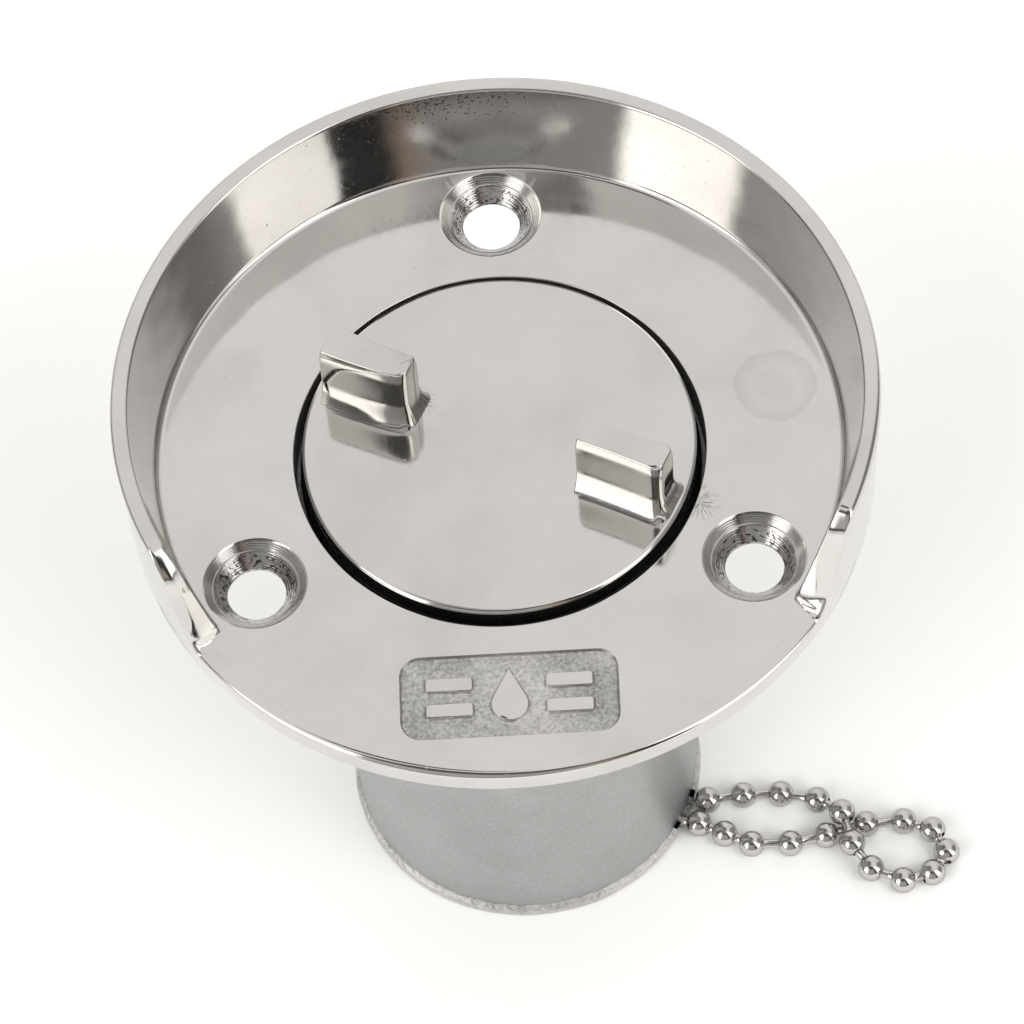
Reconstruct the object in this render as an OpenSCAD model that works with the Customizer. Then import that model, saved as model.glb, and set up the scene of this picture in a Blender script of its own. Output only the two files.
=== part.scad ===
// Boat deck fill for a 38 mm fuel hose: a flange with a splash collar, a hose neck below it,
// and a screw-in cap that stays tied to the neck by a ball chain.
// Origin: centre of the flange's underside, on the deck plane. +Z points up out of the deck.
// The label recess and the opening of the collar face -Y.

/* [Flange] */
// Diameter of the plate where it meets the deck
plate_d = 79; // [78:0.5:82]
// Thickness of the plate
plate_t = 2.7; // [2.5:0.1:3.2]
// Radius of the plate's upper edge
plate_edge_r = 0.5; // [0.3:0.1:0.8]
// Outer diameter of the splash collar at its top
collar_d = 80; // [79.5:0.5:83]
// Height of the splash collar above the plate
collar_h = 11.5; // [10:0.5:14]
// Inner diameter of the collar at the plate
collar_foot_d = 72.4; // [72:0.2:73]
// Inner diameter of the collar at its top
collar_mouth_d = 76.4; // [75.6:0.2:77]
// Angle of the right collar end below the X axis, at the middle of its ramp
ramp_angle = 30; // [27:0.1:33]
// Angle of the left collar end below the X axis
left_ramp_angle = 31.6; // [27:0.1:33]
// Slope of the ramp at each collar end
ramp_slope = 64; // [55:1:70]
// Diameter of the boss that drops into the deck cut-out
boss_d = 48.8; // [48:0.2:50]

/* [Screw holes] */
// Diameter of the circle through the screw holes
screw_pcd = 60; // [59.5:0.5:60.5]
// Number of screws
screw_count = 3; // [3:1:3]
// Diameter of each screw hole
screw_hole_d = 6.2; // [5.5:0.1:6.5]
// Diameter of each countersink at the surface
screw_head_d = 10.9; // [10:0.1:11]

/* [Label] */
// Width of the recessed label field
label_w = 22.5; // [20:0.5:24]
// Height of the recessed label field
label_h = 9.7; // [9:0.1:10]
// Depth of the recess, which leaves its symbols level with the plate
label_depth = 0.7; // [0.5:0.1:1]
// Distance of the label's centre from the origin
label_y = 29.9; // [29.5:0.1:30]

/* [Cap] */
// Diameter of the cap's disc
cap_d = 41.6; // [41:0.1:41.8]
// Thickness of the cap's disc
cap_t = 2.7; // [2.4:0.1:3]
// Height of the cap's face above the plate
cap_proud = 1.1; // [0.5:0.1:1.5]
// Gap between the cap's rim and the well it sits in
cap_gap = 0.9; // [0.8:0.1:1]
// Height of the two grip lugs
lug_h = 8.6; // [7:0.1:10]
// Distance of the lugs' inner ends from the cap's centre
lug_inner = 9.8; // [8:0.1:11]
// Direction of the lugs round the cap
lug_angle = -26.5; // [-90:0.5:90]

/* [Thread] */
// Rise of the cap in one turn
lead = 3; // [3:0.1:3]
// Turns that the cap's own thread makes
cap_turns = 2; // [1.5:0.5:2]
// Radial height of a thread ridge
ridge_h = 1; // [0.8:0.1:1]

/* [Seal] */
// Thickness of the O-ring
o_ring_cord = 2.7; // [2.6:0.1:2.7]
// Diameter of the circle along the O-ring's middle
o_ring_mid_d = 39.8; // [39.6:0.1:40]

/* [Neck] */
// Outer diameter of the hose neck
neck_d = 39; // [38:0.1:39]
// Wall thickness of the neck
neck_wall = 1.5; // [1.3:0.1:1.6]
// Depth of the neck's foot below the deck plane
neck_depth = 65.6; // [65.6:0.1:65.6]
// How far the bead at the foot stands out from the neck
bead_out = 0.5; // [0.3:0.1:0.6]
// Height of the bead's straight land
bead_land = 0.8; // [0.6:0.1:2.5]

/* [Chain] */
// Diameter of the chain's balls
ball_d = 3; // [2.8:0.1:3]
// Diameter of the links between them
link_d = 1; // [0.7:0.1:1]

/* [Hidden] */

$fn = 96;
polished = "#d3d1cd";
satin = "#a9a9a8";
black_rubber = "#161616";

// Depth at which the collar's fillets run into the plate
collar_sink = 0.04;

// Levels along the axis
cap_top = plate_t + cap_proud;
cap_under = cap_top - cap_t;
seat_z = cap_under - o_ring_cord - 0.1;
thread_top = seat_z - 0.2;
skirt_foot = -16;
neck_top = -12;
floor_z = -neck_depth;

// Radii of the cap's thread and of the socket that takes it
well_r = cap_d / 2 + cap_gap;
socket_r = 18.2;
crest_r = socket_r - 0.3;
core_r = crest_r - ridge_h;
ridge_root_half = 0.75;
ridge_crest_half = 0.35;
ridge_sink = 0.3;
ridge_steps = 30;
cap_foot = thread_top - 0.2 - 2 * ridge_root_half - cap_turns * lead;

// Swivel: a bell hangs from a stud's head and holds the last ball of the chain
bell_r = 2.5;
bell_h = 6.5;
bell_wall = 0.6;
bell_top_t = 0.8;
bell_lip_t = 0.7;
bell_mouth_r = 0.85;
stud_r = 1.2;
stud_clear = 0.05;
stud_head_r = 1.75;
stud_head_h = 0.8;
stud_gap = 0.15;
cap_boss_r = 4;
cap_boss_z = -2;
cap_hollow_r = 14.4;
cap_hollow_z = 0.3;
stud_top = cap_hollow_z + 0.5;
cap_bell_z = cap_boss_z - stud_gap;
end_ball_drop = bell_h - bell_lip_t - ball_d / 2 - 0.05;

// Anchor low inside the neck
anchor_x = 10.2;
anchor_y = -8.6;
tab_w = 7;
tab_t = 2;
tab_top = -50;
anchor_head_r = 2.2;
anchor_head_h = 1.2;
anchor_bell_z = tab_top - tab_t - stud_gap;

// Ball centres, from below the cap to the anchor
on_floor = floor_z + ball_d / 2;
hang_pitch = 4.2;
hang_top = -10.3;
hang_count = 12;
route = concat(
    [for (k = [0 : hang_count - 1]) [0, 0, hang_top - k * hang_pitch]],
    [
        // curves over to the foot of the neck
        [1.0, -0.4, on_floor + 3.6], [4.1, -1.5, on_floor + 0.9], [8.1, -2.8, on_floor],
        [12.2, -4.1, on_floor], [16.4, -5.5, on_floor],
        // outward along the surface
        [20.5, -6.9, on_floor], [24.6, -6.5, on_floor], [28.9, -6.6, on_floor],
        [33.0, -7.8, on_floor + 0.3], [35.7, -10.1, on_floor + 1.3],
        [36.6, -14.1, on_floor + 1.2], [38.6, -17.0, on_floor + 0.3],
        // far loop
        [42.1, -18.6, on_floor], [45.5, -17.8, on_floor], [47.3, -15.2, on_floor],
        [45.9, -12.3, on_floor], [42.7, -11.0, on_floor],
        // back under the hump and under the foot
        [38.4, -11.1, on_floor], [33.8, -12.3, on_floor], [29.6, -13.1, on_floor],
        [25.2, -12.9, on_floor], [22.2, -11.4, on_floor], [19.3, -9.9, on_floor],
        [15.1, -8.7, on_floor], [11.6, -8.9, on_floor],
        [anchor_x, anchor_y, on_floor + 3.8],
        [anchor_x, anchor_y, anchor_bell_z - end_ball_drop]
    ]
);
route_out = hang_count + 4;
route_back = hang_count + 22;

// Round corner of an outline at p, between unit directions a and b:
// the point where its arc leaves a, the arc's centre, and the point where it meets b
function round_corner(p, a, b, r) =
    let (
        half = acos(a * b) / 2,
        reach = r / tan(half),
        middle = (a + b) / norm(a + b)
    )
    [p + a * reach, p + middle * (r / sin(half)), p + b * reach];

// What a rounded outer corner loses
module corner_sliver(p, a, b, r) {
    arc = round_corner(p, a, b, r);
    beyond = p - (a + b) / norm(a + b) * r / 3;
    difference() {
        polygon([beyond, arc[0], arc[1], arc[2]]);
        translate(arc[1]) circle(r = r);
    }
}

// Bar between two points
module bar(p, q, d) {
    span = q - p;
    translate(p)
        rotate([0, acos(span.z / norm(span)), atan2(span.y, span.x)])
            cylinder(d = d, h = norm(span), $fn = 24);
}

// Helical ridge of a thread, swept section by section; root_r may be inside or outside crest_r
module thread_ridge(root_r, tip_r, z0, turns) {
    n = round(turns * ridge_steps);
    section = [
        [root_r, -ridge_root_half], [tip_r, -ridge_crest_half],
        [tip_r, ridge_crest_half], [root_r, ridge_root_half]
    ];
    points = [
        for (i = [0 : n], s = section)
            let (a = 360 * i / ridge_steps)
            [s.x * cos(a), s.x * sin(a), z0 + lead * i / ridge_steps + s.y]
    ];
    inward = root_r > tip_r;
    sides = [
        for (i = [0 : n - 1], j = [0 : 3])
            let (a = 4 * i + j, b = 4 * i + (j + 1) % 4, c = b + 4, d = a + 4)
            each [[a, b, c], [a, c, d]]
    ];
    ends = [[2, 1, 0], [3, 2, 0], [4 * n, 4 * n + 1, 4 * n + 2], [4 * n, 4 * n + 2, 4 * n + 3]];
    faces = concat(sides, ends);
    polyhedron(points, inward ? [for (f = faces) [f[2], f[1], f[0]]] : faces);
}

// Plate, boss and skirt in section
module flange_section() {
    plate_r = plate_d / 2;
    boss_r = boss_d / 2;
    skirt_r = neck_d / 2 + 2;
    difference() {
        polygon([
            [well_r, plate_t], [plate_r, plate_t], [plate_r, 0], [boss_r, 0],
            [boss_r, -3.5], [skirt_r, -8.5], [skirt_r, skirt_foot], [neck_d / 2, skirt_foot],
            [neck_d / 2, neck_top], [socket_r, neck_top], [socket_r, seat_z], [well_r, seat_z]
        ]);
        corner_sliver([plate_r, plate_t], [-1, 0], [0, -1], plate_edge_r);
        corner_sliver([well_r, plate_t], [1, 0], [0, -1], 0.3);
    }
}

// Collar in section, with a fillet where its inner wall meets the plate
module collar_section() {
    foot_r = collar_foot_d / 2;
    mouth_r = collar_mouth_d / 2;
    top = plate_t + collar_h;
    fillet_r = 0.8;
    wall = [mouth_r - foot_r, collar_h] / norm([mouth_r - foot_r, collar_h]);
    outer = [(plate_d - collar_d) / 2, -top] / norm([(plate_d - collar_d) / 2, -top]);
    foot = round_corner([foot_r, plate_t - collar_sink], wall, [-1, 0], fillet_r);
    difference() {
        polygon(concat(
            [[foot_r - 1, plate_t - 1], [plate_d / 2, 0], [collar_d / 2, top], [mouth_r, top]],
            foot
        ));
        translate(foot[1]) circle(r = fillet_r);
        corner_sliver([collar_d / 2, top], [-1, 0], outer, 0.3);
        corner_sliver([mouth_r, top], [1, 0], -wall, 0.3);
    }
}

// What a ramp takes away from a collar end: x runs along the collar, y is height above the plate
module ramp_cut_section() {
    crown_r = 2;
    toe_r = 2.5;
    toe_steps = 8;
    beyond = 12;
    reach = collar_h / (2 * tan(ramp_slope));
    down = [-cos(ramp_slope), -sin(ramp_slope)];
    crown = round_corner([reach, collar_h + 0.2], down, [1, 0], crown_r);
    toe = round_corner([-reach, 0], [-1, 0], -down, toe_r);
    toe_arc = [
        for (i = [0 : toe_steps])
            let (a = ramp_slope * i / toe_steps - 90)
            toe[1] + toe_r * [cos(a), sin(a)]
    ];
    difference() {
        polygon(concat(
            [[-beyond, 0]], toe_arc, crown,
            [[crown[2].x, collar_h + 1], [-beyond, collar_h + 1]]
        ));
        translate(crown[1]) circle(r = crown_r);
    }
}

module collar_end_cut() {
    translate([0, 0, plate_t - collar_sink])
        rotate([90, 0, 90])
            linear_extrude(height = collar_d) ramp_cut_section();
}

module splash_collar() {
    end_angle = ramp_angle + 10;
    difference() {
        rotate([0, 0, -end_angle])
            rotate_extrude(angle = 180 + 2 * end_angle) collar_section();
        rotate([0, 0, -ramp_angle]) collar_end_cut();
        mirror([1, 0, 0]) rotate([0, 0, -left_ramp_angle]) collar_end_cut();
    }
}

// Screw hole with a cone in two steps: a broad lip, then the seat of the screw's head
module countersunk_hole() {
    hole_r = screw_hole_d / 2;
    head_r = screw_head_d / 2;
    lip_depth = 0.8;
    lip_r = head_r - 0.9;
    seat_depth = lip_depth + lip_r - hole_r;
    translate([0, 0, -1]) cylinder(r = hole_r, h = plate_t + 2);
    rotate_extrude() polygon([
        [0, plate_t + 1], [head_r, plate_t + 1], [head_r, plate_t],
        [lip_r, plate_t - lip_depth], [lip_r - 0.15, plate_t - lip_depth],
        [hole_r, plate_t - seat_depth], [0, plate_t - seat_depth]
    ]);
}

module rounded_field(w, h, r) {
    square([w - 2 * r, h], center = true);
    square([w, h - 2 * r], center = true);
    for (x = [-1, 1], y = [-1, 1])
        translate([x * (w / 2 - r), y * (h / 2 - r)]) circle(r = r);
}

// Plain symbols that stand in the label field: a drop between two pairs of bars
module label_symbols() {
    drop_r = 1.9;
    drop_tip = 3.1;
    drop_y = -1.1;
    lift = asin(drop_r / (drop_tip - drop_y));
    side = [drop_r * cos(lift), drop_r * sin(lift)];
    bar_w = 4.8;
    bar_h = 1.5;
    translate([0, drop_y]) circle(r = drop_r);
    polygon([
        [0, drop_tip], [side.x, drop_y + side.y], [0, drop_y], [-side.x, drop_y + side.y]
    ]);
    for (x = [-1, 1], row = [-1, 1])
        translate([x * 6.2, row * 1.5]) square([bar_w, bar_h], center = true);
}

module label_recess() {
    translate([0, -label_y, plate_t - label_depth])
        linear_extrude(height = label_depth + 1)
            difference() {
                rounded_field(label_w, label_h, 2.2);
                label_symbols();
            }
}

module deck_flange() {
    color(polished) {
        difference() {
            union() {
                rotate_extrude() flange_section();
                splash_collar();
            }
            for (k = [0 : screw_count - 1])
                rotate([0, 0, 90 + k * 360 / screw_count])
                    translate([screw_pcd / 2, 0, 0]) countersunk_hole();
            label_recess();
        }
        thread_ridge(
            socket_r + ridge_sink, socket_r - ridge_h,
            cap_foot + ridge_root_half - lead / 2, cap_turns + 0.5
        );
    }
}

// Slot in the foot that lets one link of the chain pass below the rim
module link_slot(i) {
    p = route[i];
    q = route[i + 1];
    span = q - p;
    slot_w = link_d + 0.9;
    slot_top = p.z + link_d / 2 + 0.35;
    translate([(p.x + q.x) / 2, (p.y + q.y) / 2, floor_z - 1])
        rotate([0, 0, atan2(span.y, span.x)])
            translate([-norm(span) / 2, -slot_w / 2, 0])
                cube([norm(span), slot_w, slot_top - floor_z + 1]);
}

module hose_neck() {
    wall_r = neck_d / 2;
    bead_r = wall_r + bead_out;
    bevel = 0.4;
    taper = 0.6;
    foot_bore_r = bead_r - 1;
    foot_bore_h = 3.3;
    inner_r = wall_r - neck_wall;
    color(satin)
        difference() {
            rotate_extrude() polygon([
                [inner_r, neck_top], [wall_r, neck_top],
                [wall_r, floor_z + bevel + bead_land + taper],
                [bead_r, floor_z + bevel + bead_land],
                [bead_r, floor_z + bevel], [bead_r - bevel, floor_z],
                [foot_bore_r, floor_z], [foot_bore_r, floor_z + foot_bore_h],
                [inner_r, floor_z + foot_bore_h + 1]
            ]);
            link_slot(route_out);
            link_slot(route_back);
        }
}

// Cross-section of a grip lug: upright above, with a hollow flare towards the cap below
module lug_section() {
    top_half = 1.7;
    flare_z = 3.4;
    flare_r = 6.5;
    flare_steps = 6;
    edge_r = 0.3;
    flare_end = asin((flare_z + 0.3) / flare_r);
    flare = [
        for (i = [0 : flare_steps])
            let (a = 180 + flare_end * (1 - i / flare_steps))
            [top_half + flare_r * (1 + cos(a)), flare_z + flare_r * sin(a)]
    ];
    side = concat(
        [[flare[0].x, -0.5]], flare,
        [[top_half - 0.02, lug_h - edge_r], [top_half - edge_r, lug_h]]
    );
    last = len(side) - 1;
    polygon(concat(side, [for (i = [0 : last]) [-side[last - i].x, side[last - i].y]]));
}

module grip_lug() {
    lug_outer_r = cap_d / 2 - 1.1;
    intersection() {
        translate([lug_inner, 0, cap_top])
            rotate([90, 0, 90])
                linear_extrude(height = cap_d / 2) lug_section();
        translate([0, 0, cap_top - 0.5]) cylinder(r = lug_outer_r, h = lug_h + 1);
    }
}

module cap_section() {
    rim_r = cap_d / 2;
    shoulder_r = socket_r - 0.2;
    difference() {
        polygon([
            [0, cap_top], [rim_r, cap_top], [rim_r, cap_under], [shoulder_r, cap_under],
            [shoulder_r, thread_top], [core_r, thread_top], [core_r, cap_foot],
            [cap_hollow_r, cap_foot], [cap_hollow_r, cap_hollow_z],
            [cap_boss_r, cap_hollow_z], [cap_boss_r, cap_boss_z], [stud_r, cap_boss_z],
            [stud_r, stud_top], [0, stud_top]
        ]);
        corner_sliver([rim_r, cap_top], [-1, 0], [0, -1], 0.9);
    }
}

module filler_cap() {
    color(polished) {
        rotate_extrude() cap_section();
        for (turn = [0, 180])
            rotate([0, 0, lug_angle + turn]) grip_lug();
        thread_ridge(
            core_r - ridge_sink, crest_r, cap_foot + ridge_root_half, cap_turns
        );
    }
}

module cap_o_ring() {
    color(black_rubber)
        translate([0, 0, cap_under - 0.05 - o_ring_cord / 2])
            rotate_extrude()
                translate([o_ring_mid_d / 2, 0]) circle(d = o_ring_cord, $fn = 48);
}

// Stud whose lower head hangs inside a bell; top is the level where the shank starts
module swivel_stud(top, bell_z) {
    head_z = bell_z - bell_top_t - stud_gap;
    rotate_extrude() difference() {
        polygon([
            [0, top], [stud_r, top], [stud_r, head_z], [stud_head_r, head_z],
            [stud_head_r, head_z - stud_head_h], [0, head_z - stud_head_h]
        ]);
        corner_sliver([stud_head_r, head_z - stud_head_h], [-1, 0], [0, 1], 0.4);
    }
}

// Bell with its top face at z = 0
module swivel_bell() {
    cavity_r = bell_r - bell_wall;
    hole_r = stud_r + stud_clear;
    lip_top = bell_lip_t - bell_h;
    rotate_extrude() difference() {
        polygon([
            [hole_r, 0], [bell_r, 0], [bell_r, -bell_h], [bell_mouth_r, -bell_h],
            [bell_mouth_r, lip_top], [cavity_r, lip_top],
            [cavity_r, -bell_top_t], [hole_r, -bell_top_t]
        ]);
        corner_sliver([bell_r, 0], [-1, 0], [0, -1], 0.5);
        corner_sliver([bell_r, -bell_h], [-1, 0], [0, 1], 0.5);
    }
}

module cap_swivel_stud() {
    color(satin) swivel_stud(stud_top, cap_bell_z);
}

module cap_swivel_bell() {
    color(polished) translate([0, 0, cap_bell_z]) swivel_bell();
}

module cap_end_ball() {
    color(polished) translate([0, 0, cap_bell_z - end_ball_drop]) sphere(d = ball_d, $fn = 48);
}

// Tab welded to the neck's inner wall, with the anchor stud's hole near its round end
module anchor_tab() {
    reach = norm([anchor_x, anchor_y]);
    wall_r = neck_d / 2 - neck_wall + 0.3;
    color(satin)
        rotate([0, 0, atan2(anchor_y, anchor_x)])
            difference() {
                translate([0, 0, tab_top - tab_t]) intersection() {
                    union() {
                        translate([reach, 0, 0]) cylinder(d = tab_w, h = tab_t);
                        translate([reach, -tab_w / 2, 0]) cube([10, tab_w, tab_t]);
                    }
                    cylinder(r = wall_r, h = tab_t);
                }
                translate([reach, 0, tab_top - tab_t - 1]) cylinder(r = stud_r, h = tab_t + 2);
            }
}

module anchor_stud() {
    color(satin) translate([anchor_x, anchor_y, 0]) {
        swivel_stud(tab_top, anchor_bell_z);
        translate([0, 0, tab_top]) rotate_extrude() difference() {
            square([anchor_head_r, anchor_head_h]);
            corner_sliver([anchor_head_r, anchor_head_h], [-1, 0], [0, -1], 0.9);
        }
    }
}

module anchor_bell() {
    color(polished) translate([anchor_x, anchor_y, anchor_bell_z]) swivel_bell();
}

module chain_balls() {
    color(polished)
        for (p = route) translate(p) sphere(d = ball_d, $fn = 48);
}

module chain_links() {
    sink = 0.2;
    last_ball = [0, 0, cap_bell_z - end_ball_drop];
    color(satin) {
        bar(last_ball - [0, 0, ball_d / 2 + 0.05], route[0] + [0, 0, ball_d / 2 - sink], link_d);
        for (i = [0 : len(route) - 2]) {
            span = route[i + 1] - route[i];
            inset = span / norm(span) * (ball_d / 2 - sink);
            bar(route[i] + inset, route[i + 1] - inset, link_d);
        }
    }
}

deck_flange();
hose_neck();
filler_cap();
cap_o_ring();
cap_swivel_stud();
cap_swivel_bell();
cap_end_ball();
anchor_tab();
anchor_stud();
anchor_bell();
chain_balls();
chain_links();
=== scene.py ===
import math
import random

import bmesh
import bpy
from mathutils import Matrix, Vector


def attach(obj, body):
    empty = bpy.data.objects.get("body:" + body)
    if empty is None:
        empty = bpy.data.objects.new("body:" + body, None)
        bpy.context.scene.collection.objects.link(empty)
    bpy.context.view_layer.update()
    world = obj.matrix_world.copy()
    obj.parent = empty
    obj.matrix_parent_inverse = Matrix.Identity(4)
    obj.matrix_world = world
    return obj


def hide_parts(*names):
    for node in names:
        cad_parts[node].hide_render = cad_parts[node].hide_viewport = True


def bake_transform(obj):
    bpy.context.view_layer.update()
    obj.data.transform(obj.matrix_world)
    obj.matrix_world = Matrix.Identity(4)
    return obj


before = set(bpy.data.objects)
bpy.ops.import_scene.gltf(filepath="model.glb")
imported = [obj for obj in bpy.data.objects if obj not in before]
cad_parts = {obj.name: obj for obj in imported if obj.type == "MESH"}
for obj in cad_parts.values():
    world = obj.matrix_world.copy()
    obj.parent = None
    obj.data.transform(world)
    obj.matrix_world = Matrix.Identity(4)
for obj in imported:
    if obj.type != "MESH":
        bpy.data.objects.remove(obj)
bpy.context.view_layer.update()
random.seed(7)

# Sizes are in millimetres, as in part.scad, and become metres where a mesh is made.
MM = 0.001
PLATE_D = 79
PLATE_T = 2.7
COLLAR_D = 80
COLLAR_H = 11.5
COLLAR_FOOT_D = 72.4
COLLAR_MOUTH_D = 76.4
# Each ramp's angle at its middle, its slope, and how widely its top is rounded
RIGHT_RAMP = (-31, 66, 3.6)
LEFT_RAMP = (211.7, 68, 5.2)
BOSS_R = 24.4
SKIRT_FOOT = -16
SCREW_R = 30
SCREW_TURNS = (90, 210, 330)
SCREW_HOLE_R = 3.1
SCREW_HEAD_R = 5.45
LABEL = (22.5, 9.7, 2.2)
LABEL_Y = -29.9
CAP_R = 20.8
CAP_TOP = 3.8
CAP_UNDER = 1.1
WELL_R = 21.7
SEAT_Z = -1.7
SOCKET_R = 18.2
CREST_R = 17.9
CORE_R = 16.9
CAP_FOOT = -9.6
LEAD = 3
RIDGE_ROOT_HALF = 0.75
RIDGE_CREST_HALF = 0.35
LUG_H = 8.6
LUG_INNER = 9.7
LUG_OUTER = 19.5
LUG_ANGLE = -26.5
NECK_R = 19.5
NECK_WALL = 1.5
NECK_TOP = -12
FLOOR_Z = -65.6
BALL_D = 3
LINK_D = 1
ROUND_STEPS = 256


# ---------------------------------------------------------------- node helpers
def new_material(name, metallic=1.0):
    """A material, its node tree and its shader."""
    material = bpy.data.materials.new(name)
    material.use_nodes = True
    shader = material.node_tree.nodes["Principled BSDF"]
    shader.inputs["Metallic"].default_value = metallic
    return material, material.node_tree, shader


def math_node(tree, operation, a, b=0.0, c=None):
    made = tree.nodes.new("ShaderNodeMath")
    made.operation = operation
    for socket, value in zip(made.inputs, (a, b, c)):
        if value is None:
            continue
        if isinstance(value, (int, float)):
            socket.default_value = value
        else:
            tree.links.new(value, socket)
    return made.outputs[0]


def ramp(tree, source, stops):
    """Turns a value into a colour or a grey by stops, each a place from 0 to 1 and a colour."""
    made = tree.nodes.new("ShaderNodeValToRGB")
    elements = made.color_ramp.elements
    elements.remove(elements[1])
    for index, (place, colour) in enumerate(stops):
        stop = elements[0] if index == 0 else elements.new(place)
        stop.position = place
        stop.color = (*colour, 1) if isinstance(colour, tuple) else (colour, colour, colour, 1)
    tree.links.new(source, made.inputs[0])
    return made.outputs[0]


def split(tree, vector):
    made = tree.nodes.new("ShaderNodeSeparateXYZ")
    tree.links.new(vector, made.inputs[0])
    return made.outputs


def mix(tree, amount, a, b, blend="MIX"):
    """Mixes two colours; each may be a socket or a constant."""
    made = tree.nodes.new("ShaderNodeMix")
    made.data_type = "RGBA"
    made.blend_type = blend
    for socket, value in zip((made.inputs[0], made.inputs[6], made.inputs[7]), (amount, a, b)):
        if isinstance(value, float):
            socket.default_value = value
        elif isinstance(value, tuple):
            socket.default_value = (*value, 1)
        else:
            tree.links.new(value, socket)
    return made.outputs[2]


# ---------------------------------------------------------------- camera
# Where the photo was taken from, worked out from the ellipses of its circles: degrees of
# azimuth, elevation and roll, then the way back, right and down in radii of the cap's well.
CAMERA_TURN = (2.323, 58.163, -5.071)
CAMERA_BACK, CAMERA_RIGHT, CAMERA_DOWN = 26.405, 0.032, 0.315
CAMERA_LENS = 191.3


def make_camera():
    azimuth, elevation, roll = (math.radians(d) for d in CAMERA_TURN)
    back = Vector((
        math.sin(azimuth) * math.cos(elevation),
        -math.cos(azimuth) * math.cos(elevation),
        math.sin(elevation),
    ))
    level = Vector((math.cos(azimuth), math.sin(azimuth), 0))
    upright = back.cross(level)
    right = level * math.cos(roll) + upright * math.sin(roll)
    up = upright * math.cos(roll) - level * math.sin(roll)
    data = bpy.data.cameras.new("camera")
    data.sensor_width = 36
    data.lens = CAMERA_LENS
    data.clip_start, data.clip_end = 0.05, 20
    camera = bpy.data.objects.new("camera", data)
    bpy.context.scene.collection.objects.link(camera)
    place = (back * CAMERA_BACK + level * CAMERA_RIGHT - upright * CAMERA_DOWN) * WELL_R
    place += Vector((0, 0, PLATE_T))
    turn = Matrix((right, up, back)).transposed().to_4x4()
    camera.matrix_world = Matrix.Translation(place * MM) @ turn
    bpy.context.scene.camera = camera


# ---------------------------------------------------------------- studio
# Round the object, by degrees from the front towards +X: how bright the studio is, how high
# its walls reach before the even ceiling starts, and how high the dark gap above the floor is.
# Heights go from 0, level, to 1, straight up.
STUDIO_RING = [
    (-180, 1.05), (-150, 0.78), (-120, 0.66), (-88, 0.62), (-78, 0.6), (-73, 2.6), (-42, 3.0),
    (-38.5, 0.55), (-18, 0.52), (0, 0.44), (15, 0.5), (17.5, (0.5, 0.385, 0.33)),
    (24, (0.42, 0.32, 0.27)), (25.5, 0.05), (39.5, 0.05), (41.5, 2.0), (71, 2.3), (75, 0.6),
    (85, 0.35), (100, 0.28), (116, 0.34), (128, 0.8), (146, 0.9), (180, 1.05),
]
WALL_TOPS = [
    (-180, 0.68), (-80, 0.68), (-74, 0.74), (-44, 0.74), (-38, 0.9), (24, 0.93), (38, 0.9),
    (70, 0.9), (80, 0.74), (120, 0.68), (180, 0.68),
]
GAP_TOPS = [
    (-180, 0.03), (-140, 0.05), (-122, 0.3), (-78, 0.24), (-60, 0.1), (-30, 0.07), (20, 0.05),
    (60, 0.05), (120, 0.06), (180, 0.03),
]
# A dark hood hangs high in front, where the camera looks through, and a flag high on the left.
HOOD_SIDES = [(-180, 0.0), (-52, 0.0), (-46, 1.0), (20, 1.0), (26, 0.0)]
HOOD_HEIGHTS = [(0.0, 0.0), (0.72, 0.0), (0.77, 1.0), (0.955, 1.0), (0.985, 0.0)]
FLAG_SIDES = [(-180, 0.0), (-156, 0.0), (-150, 1.0), (-94, 1.0), (-88, 0.0)]
FLAG_HEIGHTS = [(0.0, 0.0), (0.948, 0.0), (0.956, 1.0), (1.0, 1.0)]
# The ring is turned by a few degrees at floor level, and further towards straight up.
RING_TURN = -5
RING_LEAN = 8
# A ramp stops at 1, so each brightness is divided by this limit, and the background's strength
# makes up for it. The ceiling's brightness is 1, the panels' and the gap's about a tenth.
BRIGHTEST = 3.2
EVEN = 1 / BRIGHTEST
PANEL_GREY = 0.12 * EVEN
GAP_GREY = 0.1 * EVEN


def by_azimuth(tree, place, stops, most=1):
    places = []
    for degrees, value in stops:
        scaled = tuple(v / most for v in value) if isinstance(value, tuple) else value / most
        places.append((degrees / 360 + 0.5, scaled))
    return ramp(tree, place, places)


def panel(tree, place, z, sides, heights):
    """1 where a hanging panel is, and 0 beside it."""
    return math_node(tree, "MULTIPLY", by_azimuth(tree, place, sides), ramp(tree, z, heights))


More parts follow.
